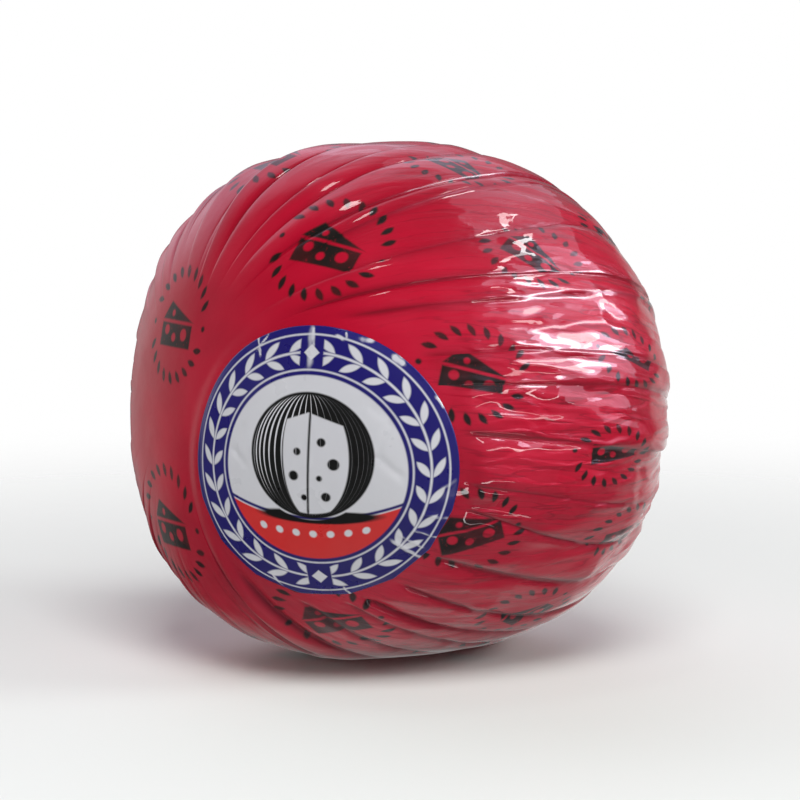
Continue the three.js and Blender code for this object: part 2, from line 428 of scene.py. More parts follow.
def sheet_places(from_pole, pleat, share):
    """The film's own flat sheet: the walk from the front pole, and the angle round it, tucks included.

    A flat sheet is wider than the ball by angle / sine, so a pleat hides part of it: half the
    difference is tucked away, and half is shrunk, as film does when it is warmed.
    """
    shown = 0.5 + 0.5 * np.sinc(from_pole / math.pi)
    around = around_at(pleat, 0.5 + (share - 0.5) * shown, from_pole)
    walk = from_pole * EQUATOR_RADIUS
    return np.stack([walk * np.cos(around), walk * np.sin(around)], -1)


def mesh_object(name, places, faces, corner_maps, vertex_values):
    """A smooth mesh object in metres, with its UV maps given per corner and its values per vertex."""
    mesh = bpy.data.meshes.new(name)
    mesh.from_pydata((places * MM).tolist(), [], faces)
    for map_name, corners in corner_maps.items():
        layer = mesh.uv_layers.new(name=map_name, do_init=False)
        layer.uv.foreach_set("vector", corners.astype(np.float32).ravel())
    for value_name, values in vertex_values.items():
        attribute = mesh.attributes.new(value_name, "FLOAT", "POINT")
        attribute.data.foreach_set("value", values.astype(np.float32).ravel())
    mesh.polygons.foreach_set("use_smooth", np.ones(len(mesh.polygons), bool))
    mesh.update()
    piece = bpy.data.objects.new(name, mesh)
    bpy.context.scene.collection.objects.link(piece)
    return piece


def strip_faces(numbers):
    """Squares between each closed row of points and the next."""
    nexts = np.roll(numbers, -1, axis=1)
    return np.stack([numbers[:-1], numbers[1:], nexts[1:], nexts[:-1]], -1).reshape(-1, 4)


def fan_faces(middle, row):
    """Triangles from a middle point to each two neighbours in a closed row."""
    return np.stack([np.full(len(row), middle), row, np.roll(row, -1)], -1)


def listed(*groups):
    """The faces of several groups, one after the other."""
    return [face for group in groups for face in group.tolist()]


def dress(piece, node, material):
    """Puts a material on a piece, which rides on the one body and stands for a node of the frame."""
    piece.data.materials.append(material)
    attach(piece, "root")
    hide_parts(node)


def make_film(settings):
    """The film's mesh: a grid of rows by columns, closed round the axis, with a fan at each pole."""
    from_pole, pleat, share = film_grid()
    places, tuck, busy = film_places(from_pole, pleat, share, settings)
    rows, columns = places.shape[:2]
    poles = film_places(np.array([0.0, math.pi]), np.zeros(2, int), np.zeros(2), settings)[0]
    points = np.concatenate([places.reshape(-1, 3), poles])
    numbers = np.arange(rows * columns).reshape(rows, columns)
    front = fan_faces(rows * columns, numbers[0])
    back = fan_faces(rows * columns + 1, numbers[-1])[:, [0, 2, 1]]
    faces = listed(strip_faces(numbers), front, back)
    return mesh_object("pleated_film", points, faces, film_maps(from_pole, pleat, share), {
        # The darkness painted in the tucks, partly film lying double and partly painted shade, and how
        # crumpled the film is.
        "tuck": np.concatenate([tuck.ravel(), [0, 0]]),
        "busy": np.concatenate([busy.ravel(), [0, 0]]),
    })


def grid_corners(left, right, front_tip, back_tip):
    """A map's place at each corner of a closed grid's squares and of its two fans, in the faces' order."""
    quads = np.stack([left[:-1], left[1:], right[1:], right[:-1]], 2).reshape(-1, 2)
    front = np.stack([front_tip, left[0], right[0]], 1).reshape(-1, 2)
    back = np.stack([back_tip, right[-1], left[-1]], 1).reshape(-1, 2)
    return np.concatenate([quads, front, back])


def film_maps(from_pole, pleat, share):
    """Corner maps of the film: its flat sheet for the print, and rows by columns for baking."""
    rows, columns = share.shape
    next_share = np.where(np.roll(share, -1, axis=1) == 0, 1.0, np.roll(share, -1, axis=1))
    left = sheet_places(from_pole, pleat, share)
    right = sheet_places(from_pole, pleat, next_share)
    far = sheet_places(np.full(columns, math.pi), pleat[0], share[0])
    sheet = grid_corners(left, right, np.zeros_like(left[0]), far) / SHEET_UNIT
    left = np.stack(np.meshgrid(np.arange(columns) / columns, np.arange(1, rows + 1) / (rows + 1)), -1)
    right = left + [1 / columns, 0]
    middle = (left[0] + right[0]) / 2 * [1, 0]
    return {"Sheet": sheet, "OFBake": grid_corners(left, right, middle, middle + [0, 1])}


def walk_from_label(aside, distance):
    """Directions reached by walking over the ball from the label's middle, in short equal steps."""
    angle = np.zeros_like(distance)
    for _ in range(WALK_STEPS):
        radius = cheese_radius(label_direction(angle, aside))
        slope = (cheese_radius(label_direction(angle + 0.001, aside)) - radius) / 0.001
        angle = angle + distance / WALK_STEPS / np.hypot(radius, slope)
    return label_direction(angle, aside)


def label_direction(angle, aside):
    """The direction at an angle from the label's middle towards one side."""
    return np.cos(angle)[..., None] * LABEL_TOWARD + np.sin(angle)[..., None] * aside


# The sticker's creases in its own print's units: two ends, width, height in millimetres, and whiteness: worn
# paper on the upper creases, painted highlights on the lower right ones.
CREASES = (
    (-0.01, 0.66, -0.02, 1.02, 0.024, 0.22, 0.6),
    (0.01, 0.84, -0.01, 1.0, 0.013, 0.0, 1.0),
    (-0.45, 0.93, -0.39, 0.76, 0.009, 0.16, 0.9),
    (-0.34, 0.96, -0.44, 0.8, 0.009, 0.12, 0.9),
    (0.16, 0.945, 0.22, 0.9, 0.014, 0.1, 0.9),
    (0.24, 0.9, 0.23, 0.96, 0.01, 0.1, 0.9),
    (0.32, 0.91, 0.42, 0.9, 0.018, 0.1, 1.0),
    (0.53, 0.86, 0.62, 0.79, 0.01, 0.14, 0.9),
    (0.55, 0.8, 0.63, 0.74, 0.022, 0.14, 1.0),
    (0.83, 0.52, 0.9, 0.43, 0.012, 0.12, 1.0),
    (0.66, 0.4, 0.52, 0.3, 0.03, -0.2, 0.0),
    (0.56, 0.36, 0.44, 0.12, 0.03, -0.26, 0.0),
    (0.44, 0.12, 0.62, -0.06, 0.035, -0.26, 0.0),
    (0.3, 0.02, 0.46, 0.12, 0.03, -0.2, 0.0),
    (0.4, 0.46, 0.56, 0.36, 0.04, -0.2, 0.0),
    (-0.2, 0.5, -0.3, 0.34, 0.04, -0.16, 0.0),
    (0.5, -0.5, 0.8, -0.8, 0.014, 0.26, 0.9),
    (0.56, -0.48, 0.74, -0.62, 0.009, 0.2, 0.85),
    (0.66, -0.44, 0.88, -0.6, 0.01, 0.24, 0.6),
    (0.74, -0.34, 0.94, -0.42, 0.018, 0.22, 0.5),
    (0.86, -0.16, 1.0, -0.1, 0.024, 0.18, 0.4),
    (0.15, -0.9, 0.19, -1.0, 0.012, 0.16, 0.75),
    (-0.36, -0.8, -0.28, -0.94, 0.012, 0.14, 0.75),
    (-0.52, 0.3, -0.6, 0.02, 0.04, -0.2, 0.0),
    (-0.48, -0.02, -0.62, 0.1, 0.03, -0.16, 0.0),
)


def label_creases(disc):
    """Each crease's ridge, a bell curve of the distance to its line, and how white it is painted: worn paper
    on the upper creases, painted highlights on the lower right ones.
    """
    places = np.pad(disc, ((0, 0), (0, 0), (0, 1)))
    bent = disc + 0.005 * np.stack([waves(places, 0.1, 21), waves(places, 0.1, 22)], -1)
    worn = 0.5 + 0.5 * waves(places, 0.07, 23)
    height = white = np.zeros(disc.shape[:2])
    for *line, width, tall, pale in CREASES:
        start, way = line[:2], np.subtract(line[2:], line[:2])
        share = np.clip((bent - start) @ way / (way @ way), 0, 1)
        distance = np.linalg.norm(bent - start - share[..., None] * way, axis=-1)
        ends = np.minimum(1, 4 * np.minimum(share, 1 - share) + 0.35)
        ridge = ends * np.exp(-((distance / width) ** 2))
        height = height + tall * ridge
        white = np.maximum(white, pale * ridge * (0.7 + 0.4 * worn))
    return height, np.minimum(white, 1)


def trimmed_off(turn):
    """The share by which a polygon lies inside its circle, on the sticker's lower edge only."""
    corner = (turn * TRIMMED_SIDES / (2 * math.pi)) % 1 - 0.5
    polygon = math.cos(math.pi / TRIMMED_SIDES) / np.cos(2 * math.pi / TRIMMED_SIDES * corner)
    return (1 - polygon) * smoothstep(-np.sin(turn), 0.1, 0.5)


def make_label(settings):
    """The label's mesh: two round faces of rings by spokes, joined at the rim, over the pressed film.

    The upper face dips towards its edge, as thin paper stuck down all over does.
    """
    ring = np.linspace(0, 1, LABEL_RINGS + 1)[1:]
    turn = np.arange(LABEL_SPOKES) * 2 * math.pi / LABEL_SPOKES
    trimmed = ring[:, None] * (1 - smoothstep(ring, 0.9, 1.0)[:, None] * trimmed_off(turn))
    disc = np.stack([trimmed * np.cos(turn), trimmed * np.sin(turn)], -1)
    half_sizes = np.array([[settings.half_width], [settings.half_height]]) / MM
    aside = disc @ (half_sizes * [LABEL_SIDEWAYS, LABEL_UPWARD])
    distance = np.linalg.norm(aside, axis=-1)
    directions = walk_from_label(aside / distance[..., None], distance)
    base = cheese_radius(directions)
    reach = ring[:, None]
    height, white = label_creases(disc)
    height = 0.1 * waves(directions * base[..., None], 24, 11) + height
    top = LABEL_TOP - 0.4 * smoothstep(reach, 0.93, 1.0) + height * smoothstep(1 - reach, 0, 0.04)
    upper = directions * (base + top)[..., None]
    lower = directions * (base + LABEL_UNDER)[..., None]
    middle = LABEL_TOWARD * cheese_radius(LABEL_TOWARD[None])[0]
    middle_top = middle + LABEL_TOWARD * LABEL_TOP
    points = np.concatenate([upper.reshape(-1, 3), lower.reshape(-1, 3), [middle_top], [middle]])
    count = distance.size
    numbers = np.arange(count).reshape(distance.shape)
    nexts = np.roll(numbers[-1], -1)
    up = strip_faces(numbers)
    down = up[:, ::-1] + count
    rim = np.stack([numbers[-1], numbers[-1] + count, nexts + count, nexts], -1)
    hub = fan_faces(2 * count, numbers[0])
    under = fan_faces(2 * count + 1, numbers[0] + count)[:, [0, 2, 1]]
    groups = (up, down, rim, hub, under)
    order = np.concatenate([group.ravel() for group in groups])
    disc = disc.reshape(-1, 2)
    disc = np.concatenate([disc, disc, np.zeros((2, 2))])[order]
    # For baking, the lower face is a small disc in the corner, and the rim a ring round the upper face.
    kind = np.repeat([0, 1, 2, 0, 1], [group.size for group in groups])
    is_low = (order >= count) & (order < 2 * count)
    size = np.choose(kind, [0.44, 0.04, 0.445 + 0.03 * is_low])
    bake = np.where(kind == 1, 0.05, 0.5)[:, None] + size[:, None] * disc
    # The creases' whiteness, kept as "worn": worn paper, and painted highlights on the lower right creases.
    white = np.concatenate([white.ravel(), np.zeros(count + 2)])
    maps = {"Print": disc, "OFBake": bake}
    return mesh_object("round_sticker", points + BALL_MIDDLE, listed(*groups), maps, {"worn": white})


class Value:
    """A node's output. Sums, differences, products and quotients of outputs make Math nodes."""

    def __init__(self, graph, socket):
        self.graph = graph
        self.socket = socket

    def sibling(self, output):
        """Another output of the same node."""
        return Value(self.graph, self.socket.node.outputs[output])

    def __add__(self, other):
        return self.graph.math("ADD", self, other)

    def __sub__(self, other):
        return self.graph.math("SUBTRACT", self, other)

    def __rsub__(self, other):
        return self.graph.math("SUBTRACT", other, self)

    def __mul__(self, other):
        return self.graph.math("MULTIPLY", self, other)

    def __truediv__(self, other):
        return self.graph.math("DIVIDE", self, other)

    def __neg__(self):
        return self * -1.0

    def __abs__(self):
        return self.graph.math("ABSOLUTE", self)


class Graph:
    """A short way to build nodes: values set inputs, and outputs are linked to inputs."""

    def __init__(self, owner, shader="Principled BSDF"):
        owner.use_nodes = True
        self.tree = owner.node_tree
        self.shader = self.tree.nodes[shader]

    def put(self, node, inputs):
        """Links outputs to a node's inputs, or sets the inputs' own values."""
        for name, value in inputs.items():
            if isinstance(value, Value):
                self.tree.links.new(value.socket, node.inputs[name])
            elif value is not None:
                node.inputs[name].default_value = value

    def node(self, kind, inputs, output=0, **properties):
        """An output of a new node, with the node's properties and inputs set."""
        made = self.tree.nodes.new("ShaderNode" + kind)
        for name, value in properties.items():
            setattr(made, name, value)
        self.put(made, inputs)
        return Value(self, made.outputs[output])

    def math(self, operation, first, second=None, third=None, clamp=False):
        """The result of one Math node."""
        return self.node("Math", {0: first, 1: second, 2: third}, operation=operation, use_clamp=clamp)

    def vector(self, operation, first, second, output=0):
        """The result of one Vector Math node."""
        return self.node("VectorMath", {0: first, 1: second}, output, operation=operation)

    def larger(self, *values):
        """The largest of some values: where shapes overlap."""
        return reduce(partial(self.math, "MAXIMUM"), values)

    def smaller(self, *values):
        """The smallest of some values: shapes joined."""
        return reduce(partial(self.math, "MINIMUM"), values)

    def length(self, across, up):
        """The distance from the origin of a flat pattern."""
        return self.math("SQRT", across * across + up * up)

    def line(self, across, up, side, height, offset):
        """How far a point lies beyond the line side * across + height * up = offset."""
        return across * side + up * height - offset

    def inside(self, distance, blur):
        """1 inside a shape whose distance is negative there, with an edge a blur wide."""
        return self.math("MULTIPLY_ADD", distance, -1 / blur, 0.5, clamp=True)

    def holed(self, shape, x, y, holes):
        """A shape with round holes in it, each one given by its place and its radius."""
        for hole_x, hole_y, radius in holes:
            shape = self.larger(shape, -(self.length(x - hole_x, y - hole_y) - radius))
        return shape

    def mix(self, share, first, second):
        """One colour laid over another."""
        return self.node("Mix", {0: share, 6: first, 7: second}, 2, data_type="RGBA")

    def noise(self, vector, scale, detail=2.0, roughness=0.5):
        """The factor of a noise texture, about 0.3 to 0.7."""
        inputs = {"Vector": vector, "Scale": scale, "Detail": detail, "Roughness": roughness}
        return self.node("TexNoise", inputs, "Fac")

    def ramp(self, value, low, high, to_low=0.0, to_high=1.0):
        """A value mapped smoothly from one range to another."""
        inputs = {"Value": value, "From Min": low, "From Max": high, "To Min": to_low, "To Max": to_high}
        return self.node("MapRange", inputs, interpolation_type="SMOOTHSTEP")

    def bump(self, height, strength, distance, below=None):
        """The normal of a relief, laid over another one's normal."""
        inputs = {"Height": height, "Strength": strength, "Distance": distance, "Normal": below}
        return self.node("Bump", inputs)

    def place(self):
        """The place in the object's own coordinates."""
        return self.node("TexCoord", {}, "Object")

    def flat(self, vector):
        """A vector's first two parts."""
        first = self.node("SeparateXYZ", {0: vector})
        return first, first.sibling(1)

    def mapped(self, name):
        """The two parts of a UV map."""
        return self.flat(self.node("UVMap", {}, uv_map=name))

    def attribute(self, name):
        """A value kept in the mesh."""
        return self.node("Attribute", {}, "Fac", attribute_name=name)


# The stamp that the film repeats, in millimetres on its flat sheet.
STAMP_SPAN = (98.0, 56.0)
STAMP_START = (8, 18)
STAMP_RING = 15.0
STAMP_MARKS = 22
STAMP_ARC = 4.6
STAMP_BLUR = 0.6
WEDGE_HALF = 9.0
WEDGE_FOOT = -6.2
WEDGE_SIDE_TOP = 0.4
WEDGE_SLOPE_FOOT = 1.3
WEDGE_HOLES = ((-4.8, -2.4, 1.7), (0.9, -3.5, 1.2), (5.4, -1.6, 1.4), (2.9, 3.2, 0.9))


def leaf(graph, along, aside, length, width, turned):
    """A leaf, the overlap of two circles whose middles lie apart, turned about its own middle."""
    cosine, sine = math.cos(turned), math.sin(turned)
    ahead = graph.line(along, aside, cosine, sine, 0.0)
    beside = abs(graph.line(along, aside, -sine, cosine, 0.0))
    radius = (length**2 + width**2) / (4 * width)
    return graph.length(ahead, beside + (radius - width / 2)) - radius


def stamp(graph, across, up, offset):
    """One lattice of stamps: a cheese wedge with holes between two arcs of leaves. Negative inside.

    The lattice wraps the sheet's place into one cell. The wedge is a triangle over a rectangle, the
    holes are circles, and the leaves repeat by the angle round the cell's middle.
    """
    x = graph.math("WRAP", across - offset[0], STAMP_SPAN[0], 0.0) - STAMP_SPAN[0] / 2
    y = graph.math("WRAP", up - offset[1], STAMP_SPAN[1], 0.0) - STAMP_SPAN[1] / 2
    foot = graph.larger(abs(x) - WEDGE_HALF, y - WEDGE_SIDE_TOP, WEDGE_FOOT - y)
    top = graph.larger(
        WEDGE_SLOPE_FOOT - y,
        graph.line(x, y, -0.34, 0.94, 4.28),
        graph.line(x, y, 0.8, 0.6, 7.98),
    )
    wedge = graph.holed(graph.smaller(foot, top), x, y, WEDGE_HOLES)
    turn = graph.math("ARCTAN2", x, y) * (STAMP_MARKS / (2 * math.pi))
    along = (graph.math("FRACT", turn + 0.5) - 0.5) * (2 * math.pi * STAMP_RING / STAMP_MARKS)
    leaves = leaf(graph, along, graph.length(x, y) - STAMP_RING, 4.2, 1.8, math.radians(62))
    leaves = graph.larger(leaves, STAMP_ARC - abs(y))
    dots = graph.length(abs(x) - STAMP_RING, y) - 0.8
    return graph.smaller(wedge, leaves, dots)


HALVES = (0.5, 0.5, 0.5)


def wandering(graph, place, scale, reach):
    """A small smooth shift in every direction, which bends straight patterns."""
    noise = graph.node("TexNoise", {"Vector": place, "Scale": scale, "Detail": 2.0}, "Color")
    centred = graph.vector("SUBTRACT", noise, HALVES)
    return graph.node("VectorMath", {0: centred, "Scale": reach * 2}, operation="SCALE")


def spun(graph, across, up, wide, long):
    """A pattern's coordinates on the sheet, its cells so wide round the middle and so long outwards."""
    walk = graph.length(across, up) + 0.001
    return graph.node("CombineXYZ", {
        0: across / walk * (EQUATOR_RADIUS / wide),
        1: up / walk * (EQUATOR_RADIUS / wide),
        2: walk * (1 / long),
    })


def streaks(graph, across, up):
    """Fine wrinkles that run along the pleats: ridged noise, stretched outwards from the sheet's middle.

    Gives their height, and the shade painted along their deepest lines.
    """
    noise = graph.noise(spun(graph, across, up, 3.4, 44.0), 1.0, 3.0, 0.5)
    ridge = abs(noise - 0.5)
    far = graph.ramp(graph.length(across, up), 45.0, 110.0)
    # The second value is painted shade in the wrinkles' valleys.
    return ridge * far, graph.ramp(ridge, 0.0, 0.022, 1.0, 0.0) * far


def loose_film(graph, place, across, up, wide, long):
    """Patches of film that stand off the cheese, long along the pleats: their height, and one chance each.

    Each patch is a cell of a random pattern, a plane that leans its own way: the height is a random
    slope times the way from the cell's middle, brought to nothing at the cell's border.
    """
    spot = graph.vector("ADD", spun(graph, across, up, wide, long), wandering(graph, place, 45.0, 0.7))
    inputs = {"Vector": spot, "Scale": 1.0}
    own_colour = graph.node("TexVoronoi", inputs, "Color", feature="F1")
    border = graph.node("TexVoronoi", inputs, "Distance", feature="DISTANCE_TO_EDGE")
    way = graph.vector("SUBTRACT", spot, own_colour.sibling("Position"))
    slope = graph.vector("SUBTRACT", own_colour, HALVES)
    lean = graph.vector("DOT_PRODUCT", way, slope, "Value")
    far = graph.ramp(graph.length(across, up), 40.0, 100.0)
    inner = graph.ramp(border, 0.0, 0.1) * far
    height = lean * graph.ramp(border, 0.0, 0.25) * far
    return height, graph.node("SeparateColor", {0: own_colour}, 2), inner


def film_material(settings):
    """Glossy deep red film, darker in its tucks for film lying double and painted shade, with painted shade
    along its wrinkles, and black print that its folds interrupt.
    """
    material = bpy.data.materials.new("red_film")
    graph = Graph(material)
    place = graph.place()
    across, up = [part * SHEET_UNIT for part in graph.mapped("Sheet")]
    between = [start + span / 2 for start, span in zip(STAMP_START, STAMP_SPAN)]
    shape = graph.smaller(stamp(graph, up, across, STAMP_START), stamp(graph, up, across, between))
    worn = graph.ramp(graph.noise(place, 900.0, 3.0), 0.26, 0.4, 0.7, 1.0)
    faded = worn * graph.ramp(graph.noise(place, 70.0), 0.35, 0.6, 0.86, 0.98)
    cloud = graph.ramp(graph.noise(place, 26.0, 3.0), 0.35, 0.65)
    red = graph.mix(cloud, (*settings.red, 1), (*settings.deep_red, 1))
    wrinkle, wrinkle_shade = streaks(graph, across, up)
    # Painted shade: the tucks' darkness, partly film lying double, and the wrinkles' deepest lines, laid on in
    # the tuck red.
    crease_shade_and_double_film = graph.larger(graph.attribute("tuck") * 0.9, wrinkle_shade * 0.42)
    red = graph.mix(crease_shade_and_double_film, red, (*settings.tuck_shade_red, 1))
    height, picked, inner = loose_film(graph, place, across, up, 4.4, 30.0)
    small_height, small_picked, small_inner = loose_film(graph, place, across, up, 2.2, 16.0)
    loose = graph.larger(
        graph.ramp(picked, 0.58, 0.62) * inner,
        graph.ramp(small_picked, 0.66, 0.7) * small_inner,
    )
    stretched = graph.node("Mapping", {"Vector": place, "Scale": (1.0, 1.0, 1.6)})
    bump = graph.bump(graph.noise(stretched, 260.0, 3.0, 0.6), 0.1, 0.0006)
    bump = graph.bump(wrinkle, 1.0, 0.00022, bump)
    height = (height + small_height * 0.65) * (graph.attribute("busy") * 0.85 + 0.15)
    graph.put(graph.shader, {
        "Base Color": graph.mix(graph.inside(shape, STAMP_BLUR) * faded, red, (*settings.ink, 1)),
        "Roughness": graph.ramp(graph.noise(place, 60.0, 4.0), 0.3, 0.7, 0.34, 0.52),
        "Specular IOR Level": 0.4,
        "Specular Tint": (1.0, 0.7, 1.0, 1),
        "Coat Weight": loose * 0.45 + 0.5,
        "Coat Roughness": 0.03,
        "Coat IOR": 1.95,
        "Normal": graph.bump(height, 1.0, 0.0014, bump),
    })
    return material


# The sticker's print, in units of its own radius.
SPRIG_LEAVES = 13
SPRIG_RADIUS = 0.81
SPRIG_OFFSET = 0.054
LEAF_LENGTH = 0.155
LEAF_WIDTH = 0.052
LEAF_TURNED = math.radians(33)
RING_LINES = (0.935, 0.69)
DISC_RADIUS = 0.655
FOOT_TOP = -0.36
PIP_STEP = 0.12
PRINT_BLUR = 0.012
BALL_DRAWN = 0.44
BALL_HEIGHT = 0.1
HOLES = (
    (-0.08, 0.13, 0.026), (-0.11, -0.04, 0.034), (-0.04, -0.19, 0.022),
    (0.09, 0.2, 0.03), (0.17, 0.05, 0.04), (0.07, -0.05, 0.02), (0.11, -0.18, 0.032),
)


def label_material(settings):
    """Varnished paper: a navy ring with a white sprig round a white disc with a cut cheese and a red foot."""
    material = bpy.data.materials.new("sticker_print")
    graph = Graph(material)
    place = graph.place()
    x, y = graph.mapped("Print")
    side, out = abs(x), graph.length(x, y)
    navy, white = (*settings.navy, 1), (*settings.white, 1)
    black, red = (*settings.black, 1), (*settings.red, 1)

    def laid(shape, under, over):
        """A colour laid inside a shape over another."""
        return graph.mix(graph.inside(shape, PRINT_BLUR), under, over)

    turn = graph.math("ARCTAN2", side, -y) * (SPRIG_LEAVES / math.pi)
    along = (graph.math("FRACT", turn) - 0.5) * (math.pi * SPRIG_RADIUS / SPRIG_LEAVES)
    outward = out - SPRIG_RADIUS
    sprig = graph.smaller(
        leaf(graph, along, outward - SPRIG_OFFSET, LEAF_LENGTH, LEAF_WIDTH, LEAF_TURNED),
        leaf(graph, along, outward + SPRIG_OFFSET, LEAF_LENGTH, LEAF_WIDTH, -LEAF_TURNED),
        abs(outward) - 0.008,
    )
    diamond = side + abs(outward) - 0.055
    colour = laid(graph.smaller(graph.larger(sprig, 0.085 - side), diamond), navy, white)
    for radius in RING_LINES:
        colour = laid(abs(out - radius) - 0.006, colour, white)

    foot = y - x * x * 0.25 - FOOT_TOP
    middle = laid(foot, white, red)
    middle = laid(abs(foot - 0.02) - 0.011, middle, navy)
    step = graph.math("FRACT", (x + PIP_STEP / 2) * (1 / PIP_STEP)) - 0.5
    pips = graph.length(step * PIP_STEP, foot + 0.1) - 0.026
    middle = laid(graph.larger(pips, side - 0.43), middle, white)

    above = y - BALL_HEIGHT
    ball_out = graph.length(x, above)
    chord = graph.math("SQRT", graph.larger(BALL_DRAWN**2 - above * above, 0.0001))
    hatch = abs(graph.math("FRACT", graph.math("ARCSINE", x / chord) * 7.5) - 0.5)
    hatch = hatch - graph.ramp(x + above * -0.6, -0.55, 0.0, 0.22, 0.0)
    rind = ball_out - (BALL_DRAWN - 0.022)
    drawn = graph.larger(ball_out - BALL_DRAWN, -graph.larger(hatch * 0.2, rind))
    opened = graph.larger(
        -x - chord * 0.42,
        x - chord * 0.62,
        rind + 0.012,
        above - (side * -0.35 + 0.3),
        0.008 - abs(x - above * 0.05),
    )
    drawn = graph.larger(drawn, -graph.holed(opened, x, y, HOLES))
    shadow = (graph.length((x - 0.04) * (1 / 0.42), (y + 0.33) * (1 / 0.05)) - 1.0) * 0.05
    shadow = graph.larger(shadow, BALL_DRAWN + 0.012 - ball_out)
    middle = laid(graph.smaller(drawn, shadow), middle, black)
    colour = laid(out - DISC_RADIUS, colour, middle)
    # White laid along the creases: worn paper, and painted highlights on the lower right creases.
    worn = graph.ramp(graph.attribute("worn"), 0.15, 0.75, 0.0, 0.85)
    graph.put(graph.shader, {
        "Base Color": graph.mix(worn, colour, white),
        "Roughness": graph.ramp(graph.noise(place, 90.0, 4.0), 0.3, 0.7, 0.25, 0.42),
        "Coat Weight": 0.35,
        "Coat Roughness": 0.1,
        "Normal": graph.bump(graph.noise(place, 120.0, 4.0), 0.15, 0.0008),
    })
    return material


LENGTH = partial(bpy.props.FloatProperty, unit="LENGTH")
COLOUR = partial(bpy.props.FloatVectorProperty, size=3, subtype="COLOR")


class CHEESEBALL_PG_film(bpy.types.PropertyGroup):
    """Sizes and colours of the film."""

    pleat_depth: LENGTH(
        name="Pleat depth", description="Height of the deepest pleats over their valleys", default=1.7 * MM)
    tuck_depth: LENGTH(
        name="Tuck depth", description="Depth of the narrow groove in each valley", default=0.22 * MM)
    step: LENGTH(name="Step", description="Height by which one pleat lies over the next", default=0.55 * MM)
    crumple: bpy.props.FloatProperty(
        name="Crumple", description="Strength of the sharp creases, 1 as on the real film", default=1.0)
    red: COLOUR(name="Film red", description="Colour of the film", default=(0.5, 0.004, 0.026))
    deep_red: COLOUR(
        name="Deep red", description="Colour of the film where it lies double", default=(0.4, 0.003, 0.02))
    # The red painted in the tucks and along the wrinkles as shade, and for film lying double.
    tuck_shade_red: COLOUR(name="Tuck red", description="Colour down in the tucks", default=(0.1, 0.001, 0.006))
    ink: COLOUR(name="Ink", description="Colour of the print", default=(0.006, 0.011, 0.009))


class CHEESEBALL_PG_label(bpy.types.PropertyGroup):
    """Sizes and colours of the label."""

    half_width: LENGTH(
        name="Half width", description="Half the label's width over the ball", default=39.8 * MM)
    half_height: LENGTH(
        name="Half height", description="Half the label's height over the ball", default=37.8 * MM)
    navy: COLOUR(name="Navy", description="Colour of the ring", default=(0.016, 0.012, 0.15))
    red: COLOUR(name="Red", description="Colour of the foot", default=(0.65, 0.02, 0.02))
    white: COLOUR(name="White", description="Colour of the paper", default=(0.64, 0.64, 0.68))
    black: COLOUR(name="Black", description="Colour of the cheese motif", default=(0.01, 0.01, 0.01))


class CHEESEBALL_PG_stage(bpy.types.PropertyGroup):
    """The camera and the studio's light."""

    camera_height: bpy.props.FloatProperty(
        name="Camera height", description="Angle that the camera looks down by",
        default=math.radians(7), subtype="ANGLE")
    camera_distance: LENGTH(
        name="Camera distance", description="From the camera to the ball's middle", default=0.9)
    pixels_a_millimetre: bpy.props.FloatProperty(
        name="Pixels a millimetre", description="Size of the ball in an image 800 pixels wide", default=3.56)
    floor_colour: COLOUR(name="Floor", description="Colour of the floor", default=(0.81, 0.84, 0.81))


class CHEESEBALL_OT_film(bpy.types.Operator):
    """Makes the pleated film over the cheese"""

    bl_idname = "cheese_ball.film"
    bl_label = "Make Film"

    def execute(self, context):
        settings = context.scene.cheese_film
        dress(make_film(settings), "film_wrapped_cheese", film_material(settings))
        return {"FINISHED"}


class CHEESEBALL_OT_label(bpy.types.Operator):
    """Makes the round sticker on the film"""

    bl_idname = "cheese_ball.label"
    bl_label = "Make Label"

    def execute(self, context):
        settings = context.scene.cheese_label
        dress(make_label(settings), "round_label", label_material(settings))
        return {"FINISHED"}


FLOOR_RADIUS = 1.4
FLOOR_RINGS = 7
FLOOR_SPOKES = 48
IMAGE_WIDTH = 800
SENSOR_WIDTH = 36.0
AIM_ASIDE = 1.93
AIM_UP = 0.91


def make_floor(settings):
    """The floor: a disc of rings and spokes, whose material fades into the white round it."""
    ring = np.linspace(0, FLOOR_RADIUS, FLOOR_RINGS + 1)[1:]
    turn = np.arange(FLOOR_SPOKES) * 2 * math.pi / FLOOR_SPOKES
    across = ring[:, None] * np.cos(turn)
    along = ring[:, None] * np.sin(turn)
    points = np.stack([across, along, np.zeros_like(across)], -1).reshape(-1, 3)
    numbers = np.arange(len(points)).reshape(across.shape)
    faces = listed(strip_faces(numbers), fan_faces(len(points), numbers[0]))
    points = np.concatenate([points, np.zeros((1, 3))])
    floor = mesh_object("studio_floor", points / MM, faces, {}, {})
    material = bpy.data.materials.new("pale_floor")
    graph = Graph(material)
    graph.put(graph.shader, {
        "Base Color": (*settings.floor_colour, 1),
        "Roughness": 0.6,
        "Alpha": graph.ramp(graph.length(*graph.flat(graph.place())), 0.1, 0.5, 1.0, 0.0),
    })
    floor.data.materials.append(material)
    floor.visible_glossy = False


def make_lamp(name, place, size, power, colour=(1, 1, 1)):
    """A soft box: a rectangle of light that faces the ball's middle."""
    lamp = bpy.data.lights.new(name, "AREA")
    lamp.shape = "RECTANGLE"
    lamp.size, lamp.size_y = size
    lamp.energy = power
    lamp.color = colour
    holder = bpy.data.objects.new(name, lamp)
    bpy.context.scene.collection.objects.link(holder)
    holder.location = place
    toward = Vector((0, 0, 0.07)) - holder.location
    holder.rotation_euler = toward.to_track_quat("-Z", "Y").to_euler()
    return holder


